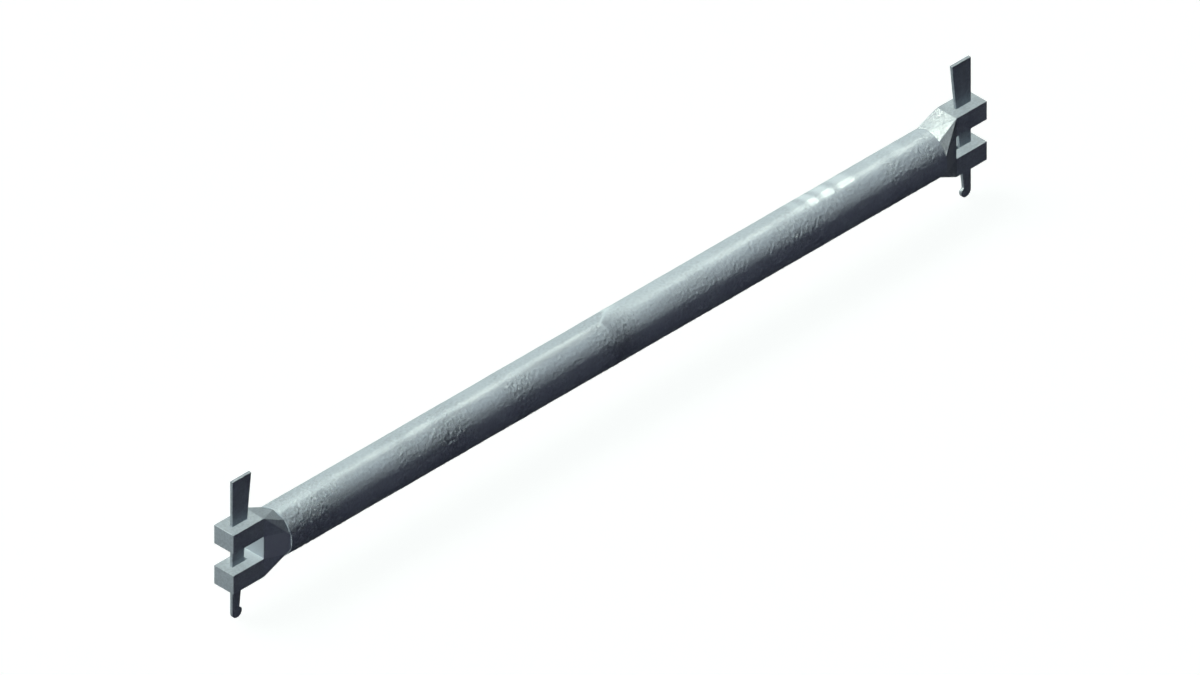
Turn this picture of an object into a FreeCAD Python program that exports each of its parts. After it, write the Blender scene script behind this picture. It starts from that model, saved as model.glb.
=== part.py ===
import FreeCAD, Part
import math
import os

Vector = FreeCAD.Vector

# Span between two standards: the grid length, less one standard and the play in front of each nose
SYSTEM_LENGTH = 1000.0
STANDARD_OD = 48.3
NOSE_PLAY = 0.85

# Tube
TUBE_OD = 48.3
TUBE_WALL = 3.2

# Head: two lugs with the rosette gap between them, then a faceted neck that widens to the round tube
NOSE_WIDTH = 24.5
LUG_HEIGHT = 20.0
ROSETTE_GAP = 24.0
NOSE_LENGTH = 38.2
NECK_LENGTH = 23.8
NECK_FACETS_PER_SIDE = 5

# Spigot that plugs the tube, cored out from behind
SPIGOT_LENGTH = 20.0
SPIGOT_CLEARANCE = 0.1
SPIGOT_WALL = 5.0
CORE_DEPTH_IN_NECK = 12.0

# Wedge: a flat plate with a straight outer edge, a tapered inner edge and a hooked foot
WEDGE_THICKNESS = 3.2
WEDGE_SETBACK = 9.5
WEDGE_SEAT_WIDTH = 18.6
WEDGE_TAPER_ANGLE = 6.1
WEDGE_RISE = 48.0
WEDGE_DROP = 38.0
WEDGE_NECK_HEIGHT = 10.5
HOOK_OVERHANG = 3.2
HOOK_LEDGE_ANGLE = 22.0

# Room for the wedge in its slots
SLOT_SIDE_CLEARANCE = 0.2
SLOT_END_CLEARANCE = 0.2

# Sizes that follow from those above
LENGTH = SYSTEM_LENGTH - STANDARD_OD - 2 * NOSE_PLAY
HEAD_LENGTH = NOSE_LENGTH + NECK_LENGTH
TUBE_LENGTH = LENGTH - 2 * HEAD_LENGTH
TUBE_RADIUS = TUBE_OD / 2
BORE_RADIUS = TUBE_RADIUS - TUBE_WALL
SPIGOT_RADIUS = BORE_RADIUS - SPIGOT_CLEARANCE
HALF_GAP = ROSETTE_GAP / 2
HEAD_TOP = HALF_GAP + LUG_HEIGHT
HALF_NOSE = NOSE_WIDTH / 2
WEDGE_TAPER = math.tan(math.radians(WEDGE_TAPER_ANGLE))


def box(x_range, y_range, z_range):
    """A block between two values on each axis."""
    size = [high - low for low, high in (x_range, y_range, z_range)]
    return Part.makeBox(*size, Vector(x_range[0], y_range[0], z_range[0]))


def polygon_face(points):
    return Part.Face(Part.makePolygon(points + points[:1]))


def make_tube():
    """The tube along X, centred on the origin."""
    start = Vector(-TUBE_LENGTH / 2, 0, 0)
    along = Vector(1, 0, 0)
    outside = Part.makeCylinder(TUBE_RADIUS, TUBE_LENGTH, start, along)
    bore = Part.makeCylinder(BORE_RADIUS, TUBE_LENGTH, start, along)
    return outside.cut(bore)


def make_neck():
    """The solid between the lugs' rectangle and the polygon that fits the tube's outside.

    Each corner of the rectangle fans out to the polygon's points in its own quadrant. Flat faces close the
    sides between two fans.
    """
    steps_per_turn = 2 * NECK_FACETS_PER_SIDE
    ring = []
    for step in range(steps_per_turn):
        turn = 2 * math.pi * step / steps_per_turn
        ring.append(Vector(HEAD_LENGTH, TUBE_RADIUS * math.sin(turn), TUBE_RADIUS * math.cos(turn)))

    # Corners and ring both run from the top towards +Y
    signs = [(1, 1), (1, -1), (-1, -1), (-1, 1)]
    corners = [Vector(NOSE_LENGTH, y * HALF_NOSE, z * HEAD_TOP) for y, z in signs]
    fans = []
    for quadrant in range(4):
        first = math.ceil(quadrant * steps_per_turn / 4)
        last = math.floor((quadrant + 1) * steps_per_turn / 4)
        fans.append([ring[step % steps_per_turn] for step in range(first, last + 1)])

    faces = [polygon_face(corners), polygon_face(ring)]
    for quadrant in range(4):
        corner, fan = corners[quadrant], fans[quadrant]
        for here, after in zip(fan, fan[1:]):
            faces.append(polygon_face([corner, here, after]))
        next_corner, next_fan = corners[(quadrant + 1) % 4], fans[(quadrant + 1) % 4]
        closing = [corner, fan[-1], next_fan[0], next_corner]
        if fan[-1].isEqual(next_fan[0], 1e-7):
            del closing[2]
        faces.append(polygon_face(closing))
    neck = Part.Solid(Part.Shell(faces))
    if neck.Volume < 0:
        neck.reverse()
    return neck


def make_spigot():
    """The round plug behind the neck."""
    return Part.makeCylinder(SPIGOT_RADIUS, SPIGOT_LENGTH, Vector(HEAD_LENGTH, 0, 0), Vector(1, 0, 0))


def make_core():
    """The hollow in the spigot, which narrows to a cone inside the neck."""
    bore = SPIGOT_RADIUS - SPIGOT_WALL
    tip = HALF_NOSE - SPIGOT_WALL
    profile = [
        Vector(HEAD_LENGTH - CORE_DEPTH_IN_NECK, 0, 0),
        Vector(HEAD_LENGTH - CORE_DEPTH_IN_NECK, 0, tip),
        Vector(HEAD_LENGTH, 0, bore),
        Vector(HEAD_LENGTH + SPIGOT_LENGTH, 0, bore),
        Vector(HEAD_LENGTH + SPIGOT_LENGTH, 0, 0),
    ]
    return polygon_face(profile).revolve(Vector(0, 0, 0), Vector(1, 0, 0), 360)


def make_head():
    """The left head, with its nose face at X = 0 and the tube towards +X."""
    nose = box((0, NOSE_LENGTH), (-HALF_NOSE, HALF_NOSE), (-HEAD_TOP, HEAD_TOP))
    gap = box((0, NOSE_LENGTH), (-HALF_NOSE, HALF_NOSE), (-HALF_GAP, HALF_GAP))
    slot_front = WEDGE_SETBACK - SLOT_END_CLEARANCE
    slot_back = WEDGE_SETBACK + WEDGE_SEAT_WIDTH + SLOT_END_CLEARANCE
    slot_half = WEDGE_THICKNESS / 2 + SLOT_SIDE_CLEARANCE
    slot = box((slot_front, slot_back), (-slot_half, slot_half), (-HEAD_TOP, HEAD_TOP))
    body = nose.fuse([make_neck(), make_spigot()])
    return body.cut([gap, slot, make_core()]).removeSplitter()


def wedge_inner_edge(z):
    """How far the wedge's inner edge lies from the nose face at height z: it binds at the head's top."""
    return WEDGE_SETBACK + WEDGE_SEAT_WIDTH + WEDGE_TAPER * (z - HEAD_TOP)


def make_wedge():
    """The left wedge, in the left head's own position."""
    top = HEAD_TOP + WEDGE_RISE
    bottom = -HEAD_TOP - WEDGE_DROP
    neck = Vector(wedge_inner_edge(bottom + WEDGE_NECK_HEIGHT), 0, bottom + WEDGE_NECK_HEIGHT)
    hook_radius = (neck.x - WEDGE_SETBACK + HOOK_OVERHANG) / 2
    hook = Vector(WEDGE_SETBACK + hook_radius, 0, bottom + hook_radius)

    def on_hook(degrees):
        turn = math.radians(degrees)
        return hook + Vector(hook_radius * math.cos(turn), 0, hook_radius * math.sin(turn))

    top_outer = Vector(WEDGE_SETBACK, 0, top)
    top_inner = Vector(wedge_inner_edge(top), 0, top)
    ledge = on_hook(HOOK_LEDGE_ANGLE)
    heel = on_hook(180)
    edges = [
        Part.makeLine(top_outer, top_inner),
        Part.makeLine(top_inner, neck),
        Part.makeLine(neck, ledge),
        Part.Arc(ledge, on_hook(-90), heel).toShape(),
        Part.makeLine(heel, top_outer),
    ]
    plate = Part.Face(Part.Wire(edges)).extrude(Vector(0, WEDGE_THICKNESS, 0))
    plate.translate(Vector(0, -WEDGE_THICKNESS / 2, 0))
    return plate


def at_left_end(shape):
    placed = shape.copy()
    placed.translate(Vector(-LENGTH / 2, 0, 0))
    return placed


def at_right_end(shape):
    """The same piece turned end for end about the upright axis."""
    placed = at_left_end(shape)
    placed.rotate(Vector(0, 0, 0), Vector(0, 0, 1), 180)
    return placed


def main():
    head = make_head()
    wedge = make_wedge()
    pieces = {
        "ledger_tube": make_tube(),
        "left_head": at_left_end(head),
        "right_head": at_right_end(head),
        "left_wedge": at_left_end(wedge),
        "right_wedge": at_right_end(wedge),
    }
    os.makedirs("parts", exist_ok=True)
    for name, shape in pieces.items():
        shape.exportStep(f"parts/{name}.step")
        print(name, shape.isValid(), len(shape.Solids), round(shape.Volume, 1))


main()
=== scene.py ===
import math

import bpy
import numpy as np
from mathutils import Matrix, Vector


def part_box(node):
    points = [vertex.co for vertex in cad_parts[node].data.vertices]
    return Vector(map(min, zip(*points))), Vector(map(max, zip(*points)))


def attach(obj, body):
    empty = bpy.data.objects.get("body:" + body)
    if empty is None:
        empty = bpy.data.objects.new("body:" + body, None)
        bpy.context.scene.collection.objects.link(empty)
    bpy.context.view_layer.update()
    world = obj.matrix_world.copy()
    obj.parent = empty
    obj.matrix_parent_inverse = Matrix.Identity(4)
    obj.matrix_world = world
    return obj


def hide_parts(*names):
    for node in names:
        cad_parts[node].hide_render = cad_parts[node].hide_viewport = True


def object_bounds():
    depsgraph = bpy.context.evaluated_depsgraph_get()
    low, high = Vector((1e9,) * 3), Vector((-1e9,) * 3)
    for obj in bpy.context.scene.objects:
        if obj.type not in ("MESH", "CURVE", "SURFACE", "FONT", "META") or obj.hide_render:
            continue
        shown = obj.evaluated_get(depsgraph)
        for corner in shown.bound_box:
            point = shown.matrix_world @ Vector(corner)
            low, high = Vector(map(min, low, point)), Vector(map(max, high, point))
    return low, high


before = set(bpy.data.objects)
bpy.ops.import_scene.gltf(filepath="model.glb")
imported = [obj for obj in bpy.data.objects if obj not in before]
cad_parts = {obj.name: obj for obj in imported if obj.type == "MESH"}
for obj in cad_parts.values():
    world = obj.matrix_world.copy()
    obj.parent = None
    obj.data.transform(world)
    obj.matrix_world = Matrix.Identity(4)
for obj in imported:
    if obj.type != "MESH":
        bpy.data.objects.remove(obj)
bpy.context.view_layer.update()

# Sizes of the solids in metres. A turn is an angle round the tube from its top towards +Y
TUBE_RADIUS = 0.02415
BORE_RADIUS = 0.02095
NOSE_FACE_X = 0.475
GAP_REAR_X = 0.4368
HALF_GAP = 0.012
GAP_MARGIN = 0.0001

# Rounded edges, and how the edges of the CAD pieces are told from their flats
RIM_ROUND = 0.0002
RIM_DEGREES = (0.0, 30.0, 60.0, 90.0)
HEAD_EDGE_ROUND = 0.0004
WEDGE_EDGE_ROUND = 0.0003
ROUND_SEGMENTS = 2
WELD_DISTANCE = 1e-6
FLAT_ANGLE = math.radians(0.5)
EDGE_ANGLE = math.radians(18.0)
TUBE_EDGE_ANGLE = math.radians(25.0)

# Grid of points on the outside of the tube
RING_STEP = 0.0012
RING_POINTS = 128
RING_GAP = 2 * math.pi * TUBE_RADIUS / RING_POINTS

# Random patterns on that grid: seed, wave length and its spread, and how far ridges may lean in degrees.
# A lean far past 90 lets them run every way
WRINKLE_WAVES = (11, 0.0048, 0.50, 1000.0)
CLUMP_WAVES = (12, 0.022, 0.50, 60.0)
SWELL_WAVES = (13, 0.075, 0.40, 60.0)
RAGGED_WAVES = (14, 0.0055, 0.45, 30.0)

# Falling off at the ends of a stretch of the tube, softly or sharply, and at the ends of a strip along it
SOFT_POWER = 4
SHARP_POWER = 8
STRIP_END = 0.020

# Stretches of the tube where the zinc is wrinkled: middle, half length and strength
WRINKLED = [
    (-0.382, 0.042, 1.10),
    (-0.258, 0.022, 0.55),
    (-0.208, 0.026, 1.10),
    (-0.116, 0.016, 0.62),
    (0.003, 0.026, 0.70),
    (0.098, 0.040, 0.28),
    (0.172, 0.034, 0.20),
    (0.245, 0.038, 0.40),
    (0.358, 0.016, 0.35),
    (0.394, 0.016, 0.40),
]
WRINKLED_LEAST = 0.40
WRINKLE_HEIGHT = 0.00017
WRINKLE_LIMIT = 2.2
CLUMP_SHARE = 0.35
CLUMP_CONTRAST = 1.5
# A long swell under the wrinkles, and the length at each end of the tube over which both fade out
SWELL_HEIGHT = 0.00003
COAT_FADE = 0.008

# The side where the wrinkles are worn smooth, with a ragged edge, and how much of their tone is lost there
WORN_FROM = math.radians(-28.0)
WORN_TO = math.radians(75.0)
WORN_EDGE = math.radians(13.0)
WORN_SHARE = 0.60
WORN_RAGGED = math.radians(5.0)
WORN_TONE_LOSS = 0.50

# The lower front, where the wrinkles are deepest
DEEP_FROM = math.radians(-88.0)
DEEP_TO = math.radians(-46.0)
DEEP_EDGE = math.radians(10.0)
DEEP_SHARE = 0.50

# The zinc went on in two dips, one for each half: the line where they meet, which leans over the top of the
# tube between two places across it, and the thick edge of the second coat there
DIP_LINE_X = -0.001
DIP_LINE_LEAN = 1.6
DIP_LINE_FRONT = -0.0034
DIP_LINE_BACK = 0.0095
DIP_EDGE_FROM = math.radians(-28.0)
DIP_EDGE_TO = math.radians(160.0)
DIP_EDGE_FADE = math.radians(18.0)
DIP_EDGE_HEIGHT = 0.00025
DIP_EDGE_RISE = 0.0040
DIP_EDGE_FALL = 0.014
# How dull the second coat is behind its edge: length and share
DULL_STRETCHES = [(0.020, 0.60), (0.090, 0.40)]

# Painted highlight: a thin pale line along that edge, between two heights on the upper side
PALE_LINE_SHARE = 0.40
PALE_LINE_HALF_WIDTH = 0.8 * DIP_EDGE_RISE
PALE_LINE_LOW = 0.93 * TUBE_RADIUS
PALE_LINE_HIGH = 0.99 * TUBE_RADIUS
# The broad painted highlight that tails the line at the back: where it rises and falls past the line, and
# where it starts
PALE_TAIL_SHARE = 0.95
PALE_TAIL_RISE = (-0.004, 0.001)
PALE_TAIL_FALL = (0.002, 0.019)
PALE_TAIL_ACROSS = (0.002, 0.009)

# Painted shade behind that edge: a darker tone on the front and the underside
DIP_SHADE_RISE = 0.007
DIP_SHADE_LENGTH = 0.029
DIP_SHADE_SHARE = 0.80
DIP_SHADE_FROM = math.radians(-150.0)
DIP_SHADE_TO = math.radians(6.0)
DIP_SHADE_EDGE = math.radians(14.0)
# Painted shade in streaks along the tube, darkening the lower edge of the gleaming line and the tube's
# front: start, end, turn, half width and share
SHADE_STREAKS = [
    (-0.105, 0.010, math.radians(-14.0), math.radians(6.0), 0.62),
    (-0.350, -0.015, math.radians(-18.5), math.radians(7.5), 0.40),
    (-0.400, 0.030, math.radians(-51.0), math.radians(10.0), 0.42),
    (0.040, 0.150, math.radians(-33.0), math.radians(10.0), 0.28),
    (0.290, 0.430, math.radians(-28.0), math.radians(16.0), 0.28),
]

# A low ridge of thicker zinc that leads up to the second coat's edge: start, end, turn and half width
RIDGE = (-0.102, 0.015, math.radians(-1.0), math.radians(6.0))
RIDGE_HEIGHT = 0.0002

# Painted highlight along the crests of the wrinkles on the first half, widening the gleaming line downwards:
# start, end, turn and half width
HIGHLIGHT_CRESTS = (-0.440, -0.080, math.radians(-11.5), math.radians(10.5))
HIGHLIGHT_CREST_SHARE = 0.50

# Painted highlight in rings on the tube's upper side, where clamps pressed it: middle along the tube, half
# length and brightness
HIGHLIGHT_RINGS = [
    (0.247, 0.0050, 0.45),
    (0.264, 0.0055, 1.00),
    (0.282, 0.0070, 1.00),
    (0.305, 0.0095, 0.75),
    (0.347, 0.0080, 0.15),
    (0.373, 0.0080, 0.35),
]
# The rings' painted highlight keeps to the upper side, between these turns
HIGHLIGHT_FROM = math.radians(-26.0)
HIGHLIGHT_TO = math.radians(85.0)
HIGHLIGHT_EDGE = math.radians(22.0)

# Small flats that the clamps pressed into the brightest rings: middle, half length and depth
FLATS = [
    (0.264, 0.0050, 0.00030),
    (0.282, 0.0065, 0.00034),
    (0.305, 0.0085, 0.00024),
]
FLAT_TURN = math.radians(-7.0)
# Turns past this, in radians, are clear of the flats, and a flat this deep has lost its wrinkles
FLAT_REACH = 1.0
PRESSED_DEPTH = 0.00002

# Zinc, linear colours, dark and light
CAST_TONES = ((0.380, 0.440, 0.470, 1.0), (0.448, 0.518, 0.552, 1.0))
WEDGE_TONES = ((0.345, 0.400, 0.428, 1.0), (0.406, 0.470, 0.502, 1.0))
TUBE_TONES = ((0.443, 0.514, 0.550, 1.0), (0.583, 0.676, 0.718, 1.0))
# Painted shade: the dark tone laid on the tube's front behind the second coat's edge and in streaks
PAINTED_SHADE_TONE = (0.360, 0.415, 0.455, 1.0)
# Painted light: the paler tone deep in the rosette gap stands in for light bounced off the lug below
GAP_BOUNCE_TONE = (0.500, 0.570, 0.600, 1.0)
# Painted highlight: a near-white tone for the rings, the crests and the line along the second coat's edge
HIGHLIGHT_TONE = (0.730, 0.840, 0.870, 1.0)

# The share of metal that gives the zinc its gloss, which weathered off towards the tube's underside, between
# two heights
METAL_SHARE = 0.034
WEATHERED_METAL_SHARE = 0.015
WEATHERED_FROM = 0.26 * TUBE_RADIUS
WEATHERED_TO = -0.29 * TUBE_RADIUS

# Noise in the shaders: scale, detail, distortion and roughness
PIT_NOISE = (400.0, 2.0, 0.3)
CAST_CLOUD_NOISE = (90.0, 2.0)
WRINKLE_NOISE = (330.0, 4.0, 1.0, 0.70)
FOLD_NOISE = (130.0, 1.5, 0.6)
PATCH_NOISE = (28.0, 1.0)
GRAIN_NOISE = (300.0, 2.0)
TUBE_CLOUD_NOISE = (25.0, 2.0)
NOISE_MIDDLE = 0.5
CLOUD_RANGE = (0.3, 0.7)

# Cast zinc: shares of the noises in its tone, the tones' ends, roughness and depth of the pits
PIT_TONE = 1.8
CAST_CLOUD_TONE = 0.7
CAST_TONE_SHIFT = -0.75
CAST_TONE_ENDS = (0.30, 0.70)
CAST_ROUGHNESS = (0.20, 0.25)
HEAD_PIT_DEPTH = 0.00034
WEDGE_PIT_DEPTH = 0.0003
# How fast the painted bounce light in the rosette gap grows towards the gap's rear
GAP_BOUNCE_POWER = 3.0

# The tube's zinc: fine wrinkles and folds, and the patches that they lie in
TUBE_BUMP_DEPTH = 0.0016
WRINKLE_STRETCH = (1.0, 0.9, 0.9)
FOLD_SHARE = 0.4
PATCH_RANGE = (0.36, 0.60)
PATCH_COVER = (0.6, 1.05)
# Its cloudy grain, what the wrinkles and the second dip add to its tone, and the tones' ends
GRAIN_SHARE = 0.5
CLOUD_SHARE = 0.5
FINE_WRINKLE_TONE = 0.8
WRINKLE_TONE = 0.24
SECOND_DIP_TONE = 0.14
TUBE_TONE_ENDS = (0.10, 0.90)
# Its roughness, and how wrinkles, dullness and flats change it
TUBE_ROUGHNESS = (0.325, 0.385)
WRINKLED_ROUGHNESS = -0.16
DULL_ROUGHNESS = 0.45
FLAT_SMOOTHNESS = 0.12

# The camera of an isometric drawing: size of the frame and how far the object sits from its middle
FRAME_WIDTH = 1.0698
FRAME_SHIFT_RIGHT = -0.00045
FRAME_SHIFT_UP = 0.0043
CAMERA_DISTANCE = 4.0
CAMERA_REACH = 50.0

# Lamps: name, direction towards the lamp, strength, angular size in degrees
KEY_COLOUR = (0.96, 1.0, 0.965)
KEY_LAMP = ("key", (-0.481, 0.347, 0.805), 2.89, 10.0)
SOFT_COLOUR = (0.97, 1.0, 0.90)
SOFT_LAMP = ("soft_key", (-0.250, 0.400, 0.880), 0.24, 28.0)
FILL_COLOUR = (0.97, 0.92, 1.50)
FILL_LAMP = ("side_fill", (-0.750, -0.600, 0.280), 0.15, 60.0)
# Lamps that show only as a gleam on the zinc
GLINT_COLOUR = (1.0, 0.96, 0.78)
GLINT_LAMPS = [
    ("line_glint", (0.577, 0.318, 0.753), 2.80, 26.0),
    ("core_glint", (0.577, 0.300, 0.760), 0.46, 5.0),
    ("top_glint", (0.577, 0.577, 0.577), 0.16, 24.0),
    ("rear_glint", (0.520, 0.800, 0.300), 0.25, 30.0),
    ("ridge_glint", (0.121, 0.577, 0.808), 2.00, 6.0),
    ("facet_glint", (-0.195, 0.073, 0.978), 4.40, 6.0),
    ("back_facet_glint", (0.080, 0.902, 0.424), 1.20, 6.0),
    ("front_facet_glint", (0.145, -0.868, 0.473), 0.60, 6.0),
    ("hook_glint", (-0.446, 0.577, 0.685), 2.50, 8.0),
]
FRONT_COLOUR = (0.90, 0.92, 1.15)
FRONT_GLINT = ("front_glint", (0.577, -0.128, 0.806), 0.90, 60.0)

# Surroundings: what is seen is white, and what lights the object is dim
WHITE = (1.0, 1.0, 1.0, 1.0)
SHADE_LIGHT = (0.009, 0.010, 0.020, 1.0)
FLOOR_HALF_SIZE = 8.0
FLOOR_DROP = 0.0003
FLOOR_DULL = (0.02, 0.02, 0.02, 1.0)
FLOOR_PALE = (0.8, 0.8, 0.8, 1.0)
FLOOR_GLOW = 0.36


def turn_from(turn, middle):
    """The turn from a middle, between half a turn back and half a turn on."""
    return (turn - middle + np.pi) % (2 * np.pi) - np.pi


def window(turn, start, end, edge):
    """1 for turns between start and end, falling to 0 over the edge at both."""
    off = turn_from(turn, 0.0)
    return np.clip(np.minimum(off - start, end - off) / edge, 0, 1)


def stretch(x, middle, half_length, power):
    """1 in the middle of a stretch of the tube, falling to 0 round its ends."""
    return np.exp(-((x - middle) / half_length) ** power)


def strip(x, turn, start, end, middle, half_width):
    """1 along the middle of a soft strip between two places on the tube."""
    along = np.clip(np.minimum(x - start, end - x) / STRIP_END, 0, 1)
    return along * np.exp(-(turn_from(turn, middle) / half_width) ** 2)


def lattice_noise(shape, seed, wave, spread, lean_degrees):
    """Random relief on a grid that closes round the tube: bumps of about the wave length.

    A small lean draws them out into ridges across the tube.
    """
    rng = np.random.default_rng(seed)
    white = rng.standard_normal(shape)
    k_along = 2 * np.pi * np.fft.fftfreq(shape[0], RING_STEP)[:, None]
    k_round = 2 * np.pi * np.fft.fftfreq(shape[1], RING_GAP)[None, :]
    k_size = np.hypot(k_along, k_round)
    k_angle = np.degrees(np.arctan2(np.abs(k_round), np.abs(k_along)))
    k_wave = 2 * np.pi / wave
    band = np.exp(-0.5 * ((k_size - k_wave) / (spread * k_wave)) ** 2)
    band = band * np.exp(-0.5 * (k_angle / lean_degrees) ** 2)
    band[0, 0] = 0
    field = np.fft.ifft2(np.fft.fft2(white) * band).real
    return field / field.std()


def wrinkled(x):
    """How strongly the zinc is wrinkled along the tube."""
    stretches = sum(share * stretch(x, *place, SOFT_POWER) for *place, share in WRINKLED)
    return WRINKLED_LEAST + stretches


def wrinkle_pattern(along):
    """The wrinkles in the zinc, in loose clumps, for rows along the tube and columns round it."""
    shape = (len(along), RING_POINTS)
    wrinkles = lattice_noise(shape, *WRINKLE_WAVES)
    clumps = 1 + CLUMP_SHARE * np.tanh(CLUMP_CONTRAST * lattice_noise(shape, *CLUMP_WAVES))
    height = wrinkles * clumps * wrinkled(along[:, None])
    return WRINKLE_LIMIT * np.tanh(height / WRINKLE_LIMIT)


def worn(turn, ragged=0.0):
    """How far the wrinkles are worn off. Ragged shifts the edge of the worn side, as an angle."""
    return WORN_SHARE * window(turn + ragged, WORN_FROM, WORN_TO, WORN_EDGE)


def flat_depth(x, turn):
    """How deep the flats lie under the round tube."""
    off = np.clip(turn_from(turn, FLAT_TURN), -FLAT_REACH, FLAT_REACH)
    depth = 0
    for middle, half_length, deepest in FLATS:
        chord = (TUBE_RADIUS - deepest) / np.cos(off)
        sunk = np.clip(TUBE_RADIUS - chord, 0, None)
        depth = depth + sunk * stretch(x, middle, half_length, SHARP_POWER)
    return depth


def pressed(x, turn):
    """1 on the flats, 0 elsewhere."""
    return np.clip(flat_depth(x, turn) / PRESSED_DEPTH, 0, 1)


def past_dip_line(x, turn):
    """How far a point lies past the line where the second dip ends."""
    across = np.clip(TUBE_RADIUS * np.sin(turn), DIP_LINE_FRONT, DIP_LINE_BACK)
    return x - DIP_LINE_X - DIP_LINE_LEAN * across


def second_coat(x, turn):
    """1 on the second coat and 0 before it, rising over the width of its edge."""
    return np.clip(past_dip_line(x, turn) / DIP_EDGE_RISE, 0, 1)


def dip_edge(x, turn):
    """Height of the second coat's thick edge."""
    rise = second_coat(x, turn)
    rise = rise * rise * (3 - 2 * rise) * window(turn, DIP_EDGE_FROM, DIP_EDGE_TO, DIP_EDGE_FADE)
    behind = np.clip(past_dip_line(x, turn) - DIP_EDGE_RISE, 0, None)
    return DIP_EDGE_HEIGHT * rise * np.exp(-behind / DIP_EDGE_FALL)


def dullness(x, turn):
    """How dull the second coat came out, most of all near its edge."""
    past = np.clip(past_dip_line(x, turn), 0, None)
    return second_coat(x, turn) * sum(share * np.exp(-past / length) for length, share in DULL_STRETCHES)


def painted_shade(x, turn):
    """How much painted shade darkens the zinc, behind the edge of the second coat and in streaks along the
    tube.
    """
    past = past_dip_line(x, turn)
    behind = np.clip(past / DIP_SHADE_RISE, 0, 1) * np.exp(-(past / DIP_SHADE_LENGTH) ** 2)
    front = window(turn, DIP_SHADE_FROM, DIP_SHADE_TO, DIP_SHADE_EDGE)
    shade_streaks = sum(share * strip(x, turn, *place) for *place, share in SHADE_STREAKS)
    return DIP_SHADE_SHARE * behind * front + shade_streaks


def painted_highlight(x, turn):
    """How strongly painted highlight lightens the zinc, in the clamps' rings on the upper side and on the
    crests of the wrinkles.
    """
    rings = sum(share * stretch(x, *place, SOFT_POWER) for *place, share in HIGHLIGHT_RINGS)
    crests = HIGHLIGHT_CREST_SHARE * strip(x, turn, *HIGHLIGHT_CRESTS) * (wrinkled(x) - WRINKLED_LEAST)
    return rings * window(turn, HIGHLIGHT_FROM, HIGHLIGHT_TO, HIGHLIGHT_EDGE) + crests


def tube_relief(along, turn, wrinkles):
    """Height of the zinc coat over the round tube, in metres, for rows along it and columns round it."""
    x = along[:, None]
    swell = lattice_noise(wrinkles.shape, *SWELL_WAVES)
    fade = np.clip((along[-1] - np.abs(x)) / COAT_FADE, 0, 1)
    coat = WRINKLE_HEIGHT * wrinkles * (1 - worn(turn)) + SWELL_HEIGHT * swell
    ridge = RIDGE_HEIGHT * strip(x, turn, *RIDGE)
    return fade * coat * (1 - pressed(x, turn)) + ridge + dip_edge(x, turn) - flat_depth(x, turn)


def zinc_layers(x, turn, wrinkles):
    """What the tube's material needs to know about the zinc, for each point of the grid."""
    ragged = WORN_RAGGED * lattice_noise(x.shape, *RAGGED_WAVES)
    return {
        "smooth": np.maximum(pressed(x, turn), worn(turn, ragged)),
        "wrinkled": wrinkled(x),
        "wrinkles": wrinkles * (1 - WORN_TONE_LOSS * worn(turn)),
        "deep": np.broadcast_to(DEEP_SHARE * window(turn, DEEP_FROM, DEEP_TO, DEEP_EDGE), x.shape),
        "second_dip": second_coat(x, turn),
        "dull": dullness(x, turn),
        # Painted highlight and painted shade go to the material as layers of the mesh
        "painted_highlight": painted_highlight(x, turn),
        "painted_shade": painted_shade(x, turn),
    }


def rim_rings(half):
    """Place along the tube and radius of each ring of its right rim, from the outside in to the bore."""
    rings = []
    for degrees in RIM_DEGREES:
        bend = math.radians(degrees)
        x = half - RIM_ROUND * (1 - math.sin(bend))
        rings.append((x, TUBE_RADIUS - RIM_ROUND * (1 - math.cos(bend))))
    rings.append((half, BORE_RADIUS))
    return rings


def ring_mesh(name, points):
    """A closed mesh through a grid of points: rings one after another, with the last joined to the first."""
    rows, columns = points.shape[:2]
    here = np.arange(rows * columns).reshape(rows, columns)
    after = np.roll(here, -1, axis=0)
    faces = np.stack([here, after, np.roll(after, -1, axis=1), np.roll(here, -1, axis=1)], axis=-1)
    mesh = bpy.data.meshes.new(name)
    mesh.from_pydata(points.reshape(-1, 3).tolist(), [], faces.reshape(-1, 4).tolist())
    mesh.update()
    mesh.shade_smooth()
    mesh.set_sharp_from_angle(angle=TUBE_EDGE_ANGLE)
    return mesh


def make_tube(name):
    """The tube with its zinc relief outside, rounded rims at both ends and the plain bore."""
    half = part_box("ledger_tube")[1].x
    flat = half - 2 * RIM_ROUND
    along = np.linspace(-flat, flat, int(round(2 * flat / RING_STEP)) + 1)
    turn = np.linspace(0, 2 * np.pi, RING_POINTS, endpoint=False)
    wrinkles = wrinkle_pattern(along)

    rim_x, rim_radius = np.array(rim_rings(half)).T
    x = np.concatenate([-rim_x[::-1], along, rim_x])
    x = np.repeat(x[:, None], RING_POINTS, axis=1)
    rim_rows = np.repeat(rim_radius[:, None], RING_POINTS, axis=1)
    radius = np.vstack([rim_rows[::-1], TUBE_RADIUS + tube_relief(along, turn, wrinkles), rim_rows])
    mesh = ring_mesh(name, np.stack([x, radius * np.sin(turn), radius * np.cos(turn)], axis=-1))

    plain_rims = (len(rim_x), len(rim_x))
    for label, values in zinc_layers(x, turn, np.pad(wrinkles, (plain_rims, (0, 0)))).items():
        layer = mesh.attributes.new(label, "FLOAT", "POINT")
        layer.data.foreach_set("value", values.ravel().astype(np.float32))
    piece = bpy.data.objects.new(name, mesh)
    bpy.context.scene.collection.objects.link(piece)
    return piece


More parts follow.
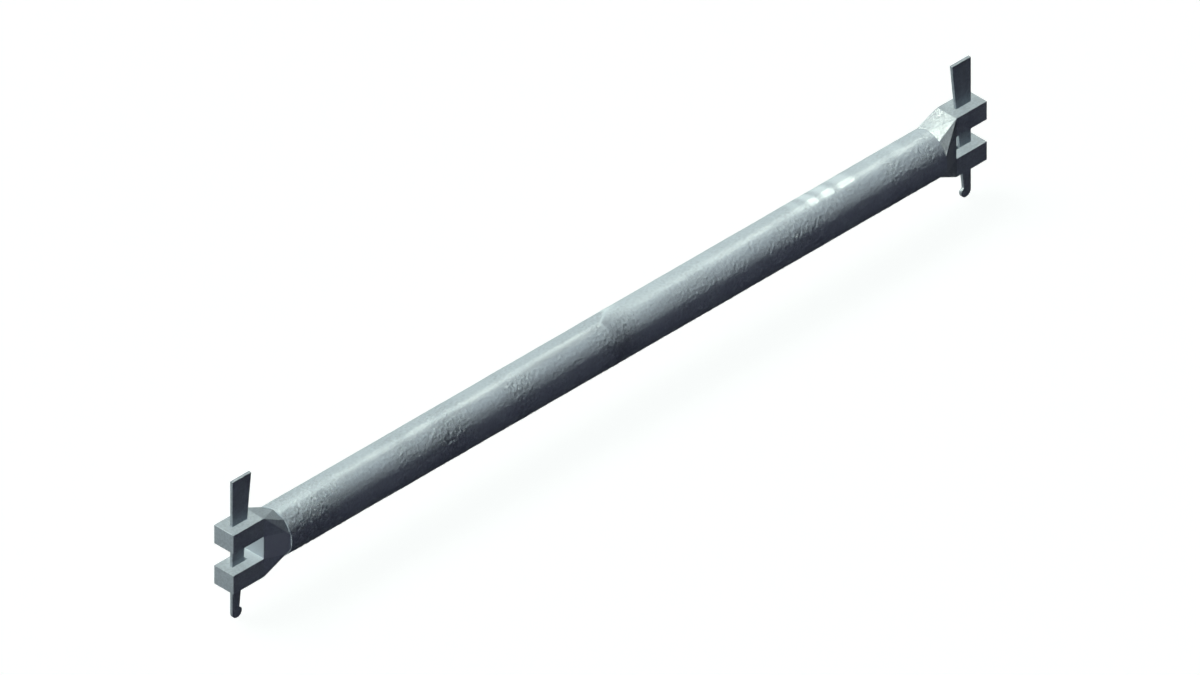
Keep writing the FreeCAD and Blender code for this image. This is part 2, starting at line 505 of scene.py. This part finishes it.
def round_edges(piece, radius):
    """Rounds the sharp edges of a CAD piece and shades its flats as flat."""
    weld = piece.modifiers.new("weld", "WELD")
    weld.merge_threshold = WELD_DISTANCE
    flats = piece.modifiers.new("flats", "DECIMATE")
    flats.decimate_type = "DISSOLVE"
    flats.angle_limit = FLAT_ANGLE
    bevel = piece.modifiers.new("round", "BEVEL")
    bevel.width = radius
    bevel.segments = ROUND_SEGMENTS
    bevel.limit_method = "ANGLE"
    bevel.angle_limit = EDGE_ANGLE
    bevel.harden_normals = False
    piece.modifiers.new("normals", "WEIGHTED_NORMAL")


class Nodes:
    """Adds shader nodes to a tree and links them."""

    def __init__(self, tree):
        self.tree = tree
        tree.nodes.clear()

    def add(self, kind, settings=None, **inputs):
        """A new node. Inputs are named as on the node, with _ for a space, or i0, i1 and so on by place."""
        node = self.tree.nodes.new(kind)
        for key, value in (settings or {}).items():
            setattr(node, key, value)
        for key, value in inputs.items():
            by_place = key[0] == "i" and key[1:].isdigit()
            socket = node.inputs[int(key[1:]) if by_place else key.replace("_", " ")]
            if isinstance(value, bpy.types.NodeSocket):
                self.tree.links.new(value, socket)
            else:
                socket.default_value = value
        return node

    def place(self):
        """Where a point lies in the object's own frame."""
        return self.add("ShaderNodeTexCoord").outputs["Object"]

    def math(self, operation, *values):
        """The result of one operation on values or patterns."""
        inputs = {f"i{index}": value for index, value in enumerate(values)}
        return self.add("ShaderNodeMath", {"operation": operation}, **inputs).outputs[0]

    def spread(self, value, low, high, to_low, to_high):
        """Maps a range of values to another, and stops at its ends."""
        return self.add("ShaderNodeMapRange", i0=value, i1=low, i2=high, i3=to_low, i4=to_high).outputs[0]

    def noise(self, place, scale, detail, distortion=0.0, roughness=0.55):
        """A noise pattern from 0 to 1."""
        settings = {"Scale": scale, "Detail": detail, "Distortion": distortion, "Roughness": roughness}
        return self.add("ShaderNodeTexNoise", Vector=place, **settings).outputs[0]

    def attribute(self, name):
        """A layer of values that the mesh carries."""
        return self.add("ShaderNodeAttribute", {"attribute_name": name}).outputs["Fac"]


def new_material(name):
    """A new material and the adder of its nodes."""
    material = bpy.data.materials.new(name)
    material.use_nodes = True
    return material, Nodes(material.node_tree)


def zinc_colour(nodes, tones, tone, ends):
    """The zinc's colour for a tone pattern, from the dark tone to the light one."""
    ramp = nodes.add("ShaderNodeValToRGB", i0=tone)
    for element, position, colour in zip(ramp.color_ramp.elements, ends, tones):
        element.position = position
        element.color = colour
    return ramp.outputs[0]


def blend(nodes, share, colour, other):
    """Mixes another colour in where the share pattern says."""
    mix = nodes.add("ShaderNodeMix", {"data_type": "RGBA"}, i0=share, i6=colour, i7=other)
    return mix.outputs[2]


def finish_zinc(nodes, colour, relief, depth, rough, metal):
    """The zinc coat's shader with its relief."""
    bump = nodes.add("ShaderNodeBump", Strength=1.0, Distance=depth, Height=relief).outputs[0]
    shader = nodes.add(
        "ShaderNodeBsdfPrincipled",
        Base_Color=colour,
        Metallic=metal,
        Roughness=rough,
        Specular_IOR_Level=0.0,
        Normal=bump,
    )
    nodes.add("ShaderNodeOutputMaterial", Surface=shader.outputs[0])


def cast_zinc(name, tones, depth):
    """Zinc on cast or cut steel: fine pits and a cloudy tone, with painted bounce light that makes it
    brighter deep in the rosette gap.
    """
    material, nodes = new_material(name)
    place = nodes.place()
    pits = nodes.noise(place, *PIT_NOISE)
    cloud = nodes.noise(place, *CAST_CLOUD_NOISE)
    tone = nodes.math("MULTIPLY_ADD", pits, PIT_TONE, CAST_TONE_SHIFT)
    tone = nodes.math("MULTIPLY_ADD", cloud, CAST_CLOUD_TONE, tone)
    colour = zinc_colour(nodes, tones, tone, CAST_TONE_ENDS)
    along, _, height = nodes.add("ShaderNodeSeparateXYZ", i0=place).outputs
    # Painted bounce light: paler deep inside the rosette gap
    deep = nodes.spread(nodes.math("ABSOLUTE", along), NOSE_FACE_X, GAP_REAR_X, 0.0, 1.0)
    inside = nodes.math("LESS_THAN", nodes.math("ABSOLUTE", height), HALF_GAP + GAP_MARGIN)
    gap_bounce_light = nodes.math("MULTIPLY", nodes.math("POWER", deep, GAP_BOUNCE_POWER), inside)
    colour = blend(nodes, gap_bounce_light, colour, GAP_BOUNCE_TONE)
    rough = nodes.spread(cloud, *CLOUD_RANGE, *CAST_ROUGHNESS)
    finish_zinc(nodes, colour, pits, depth, rough, METAL_SHARE)
    return material


def dip_line_highlight(nodes, place):
    """Painted highlight: a thin pale line along the second coat's edge, on the upper side, that widens
    towards the back.
    """
    along, across, height = nodes.add("ShaderNodeSeparateXYZ", i0=place).outputs
    lean = nodes.math("MINIMUM", nodes.math("MAXIMUM", across, DIP_LINE_FRONT), DIP_LINE_BACK)
    past = nodes.math("SUBTRACT", nodes.math("MULTIPLY_ADD", lean, -DIP_LINE_LEAN, along), DIP_LINE_X)
    off = nodes.math("ABSOLUTE", nodes.math("SUBTRACT", past, DIP_EDGE_RISE / 2))
    line = nodes.spread(off, 0.0, PALE_LINE_HALF_WIDTH, PALE_LINE_SHARE, 0.0)
    upper = nodes.spread(height, PALE_LINE_LOW, PALE_LINE_HIGH, 0.0, 1.0)
    line = nodes.math("MULTIPLY", line, upper)
    rise = nodes.spread(past, *PALE_TAIL_RISE, 0.0, 1.0)
    fall = nodes.spread(past, *PALE_TAIL_FALL, PALE_TAIL_SHARE, 0.0)
    behind = nodes.spread(across, *PALE_TAIL_ACROSS, 0.0, 1.0)
    tail = nodes.math("MULTIPLY", nodes.math("MULTIPLY", rise, fall), behind)
    return nodes.math("MAXIMUM", line, tail)


def fine_wrinkles(nodes, place):
    """Wrinkles too fine for the mesh, in loose patches where the zinc is wrinkled."""
    stretched = nodes.add("ShaderNodeMapping", i0=place, i3=WRINKLE_STRETCH).outputs[0]
    wrinkle = nodes.math("SUBTRACT", nodes.noise(stretched, *WRINKLE_NOISE), NOISE_MIDDLE)
    fold = nodes.math("SUBTRACT", nodes.noise(stretched, *FOLD_NOISE), NOISE_MIDDLE)
    cover = nodes.spread(nodes.noise(place, *PATCH_NOISE), *PATCH_RANGE, *PATCH_COVER)
    patch = nodes.math("MULTIPLY", cover, nodes.attribute("wrinkled"))
    return nodes.math("MULTIPLY", nodes.math("MULTIPLY_ADD", fold, FOLD_SHARE, wrinkle), patch)


def tube_colour(nodes, place, wrinkle, cloud):
    """The tube's zinc, with painted highlight on its rings, crests and dip line, and painted shade behind
    the dip line and in streaks.
    """
    tone = nodes.math("MULTIPLY_ADD", wrinkle, FINE_WRINKLE_TONE, cloud)
    tone = nodes.math("MULTIPLY_ADD", nodes.attribute("wrinkles"), WRINKLE_TONE, tone)
    tone = nodes.math("MULTIPLY_ADD", nodes.attribute("second_dip"), SECOND_DIP_TONE, tone)
    colour = zinc_colour(nodes, TUBE_TONES, tone, TUBE_TONE_ENDS)
    # Painted highlight on the rings and crests
    colour = blend(nodes, nodes.attribute("painted_highlight"), colour, HIGHLIGHT_TONE)
    # Painted shade behind the second coat's edge and in streaks
    colour = blend(nodes, nodes.attribute("painted_shade"), colour, PAINTED_SHADE_TONE)
    # Painted highlight along the second coat's edge
    return blend(nodes, dip_line_highlight(nodes, place), colour, HIGHLIGHT_TONE)


def tube_roughness(nodes, cloud, smooth):
    """Glossier where the tube is wrinkled or pressed flat, and rougher where the second coat is dull."""
    rough = nodes.spread(cloud, *CLOUD_RANGE, *TUBE_ROUGHNESS)
    rough = nodes.math("MULTIPLY_ADD", nodes.attribute("wrinkled"), WRINKLED_ROUGHNESS, rough)
    rough = nodes.math("MULTIPLY_ADD", nodes.attribute("dull"), DULL_ROUGHNESS, rough)
    return nodes.math("SUBTRACT", rough, nodes.spread(smooth, WORN_SHARE, 1.0, 0.0, FLAT_SMOOTHNESS))


def tube_zinc(name, depth):
    """Zinc on drawn tube: fine wrinkles in loose patches, with smooth and dull places, painted shade on its
    dark places and painted highlight on its bright ones.
    """
    material, nodes = new_material(name)
    place = nodes.place()
    wrinkle = fine_wrinkles(nodes, place)
    smooth = nodes.attribute("smooth")
    rugged = nodes.math("SUBTRACT", nodes.math("ADD", nodes.attribute("deep"), 1.0), smooth)
    relief = nodes.math("MULTIPLY", wrinkle, rugged)
    cloud = nodes.math("MULTIPLY", nodes.noise(place, *TUBE_CLOUD_NOISE), CLOUD_SHARE)
    cloud = nodes.math("MULTIPLY_ADD", nodes.noise(place, *GRAIN_NOISE), GRAIN_SHARE, cloud)
    colour = tube_colour(nodes, place, wrinkle, cloud)
    rough = tube_roughness(nodes, cloud, smooth)
    height = nodes.add("ShaderNodeSeparateXYZ", i0=place).outputs[2]
    metal = nodes.spread(height, WEATHERED_FROM, WEATHERED_TO, METAL_SHARE, WEATHERED_METAL_SHARE)
    finish_zinc(nodes, colour, relief, depth, rough, metal)
    return material


def seen_as(nodes, seen, scattered):
    """One shader for rays from the camera, from gloss and through glass, and another for scattered light."""
    path = nodes.add("ShaderNodeLightPath").outputs
    direct = nodes.math("MAXIMUM", path["Is Camera Ray"], path["Is Glossy Ray"])
    direct = nodes.math("MAXIMUM", direct, path["Is Transmission Ray"])
    return nodes.add("ShaderNodeMixShader", i0=direct, i1=scattered, i2=seen).outputs[0]


def make_floor():
    """A floor just under the object, white to the eye but dark for the light that it would throw up."""
    size = FLOOR_HALF_SIZE
    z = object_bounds()[0].z - FLOOR_DROP
    corners = [(-size, -size, z), (size, -size, z), (size, size, z), (-size, size, z)]
    mesh = bpy.data.meshes.new("floor")
    mesh.from_pydata(corners, [], [(0, 1, 2, 3)])
    floor = bpy.data.objects.new("floor", mesh)
    bpy.context.scene.collection.objects.link(floor)
    material, nodes = new_material("floor_white")
    dull = nodes.add("ShaderNodeBsdfDiffuse", Color=FLOOR_DULL).outputs[0]
    pale = nodes.add("ShaderNodeBsdfDiffuse", Color=FLOOR_PALE).outputs[0]
    glow = nodes.add("ShaderNodeEmission", Color=WHITE, Strength=FLOOR_GLOW).outputs[0]
    white = nodes.add("ShaderNodeAddShader", i0=pale, i1=glow).outputs[0]
    nodes.add("ShaderNodeOutputMaterial", Surface=seen_as(nodes, white, dull))
    mesh.materials.append(material)


def make_world():
    """A white background that lights the object only as a dim shade."""
    world = bpy.data.worlds.new("studio")
    bpy.context.scene.world = world
    world.use_nodes = True
    nodes = Nodes(world.node_tree)
    shade = nodes.add("ShaderNodeBackground", Color=SHADE_LIGHT, Strength=1.0).outputs[0]
    white = nodes.add("ShaderNodeBackground", Color=WHITE, Strength=1.0).outputs[0]
    nodes.add("ShaderNodeOutputWorld", Surface=seen_as(nodes, white, shade))


def make_lamp(name, direction, strength, degrees, colour, shadow=False, only_gleam=False):
    """A sun of a given angular size, in the direction given."""
    lamp = bpy.data.lights.new(name, "SUN")
    lamp.energy = strength
    lamp.angle = math.radians(degrees)
    lamp.color = colour
    lamp.use_shadow = shadow
    holder = bpy.data.objects.new(name, lamp)
    holder.rotation_euler = Vector(direction).to_track_quat("Z", "Y").to_euler()
    holder.visible_diffuse = not only_gleam
    bpy.context.scene.collection.objects.link(holder)


def make_camera():
    """A camera that looks along the isometric direction."""
    data = bpy.data.cameras.new("camera")
    data.type = "ORTHO"
    data.ortho_scale = FRAME_WIDTH
    data.clip_end = CAMERA_REACH
    camera = bpy.data.objects.new("camera", data)
    back = Vector((-1, -1, 1)).normalized()
    right = Vector((1, -1, 0)).normalized()
    up = Vector((1, 1, 2)).normalized()
    camera.location = CAMERA_DISTANCE * back + FRAME_SHIFT_RIGHT * right + FRAME_SHIFT_UP * up
    camera.rotation_euler = back.to_track_quat("Z", "Y").to_euler()
    bpy.context.scene.collection.objects.link(camera)
    bpy.context.scene.camera = camera


tube_look = tube_zinc("tube_zinc_look", TUBE_BUMP_DEPTH)
head_look = cast_zinc("head_zinc_look", CAST_TONES, HEAD_PIT_DEPTH)
wedge_look = cast_zinc("wedge_zinc_look", WEDGE_TONES, WEDGE_PIT_DEPTH)

tube = make_tube("zinc_tube")
tube.data.materials.append(tube_look)
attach(tube, "ledger")
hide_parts("ledger_tube")

for side in ("left", "right"):
    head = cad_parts[side + "_head"]
    round_edges(head, HEAD_EDGE_ROUND)
    head.data.materials[0] = head_look
    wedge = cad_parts[side + "_wedge"]
    round_edges(wedge, WEDGE_EDGE_ROUND)
    wedge.data.materials[0] = wedge_look

make_floor()
make_world()
make_lamp(*KEY_LAMP, KEY_COLOUR)
make_lamp(*SOFT_LAMP, SOFT_COLOUR, shadow=True)
make_lamp(*FILL_LAMP, FILL_COLOUR)
for glint in GLINT_LAMPS:
    make_lamp(*glint, GLINT_COLOUR, only_gleam=True)
make_lamp(*FRONT_GLINT, FRONT_COLOUR, only_gleam=True)
make_camera()
bpy.context.scene.view_settings.view_transform = "Standard"
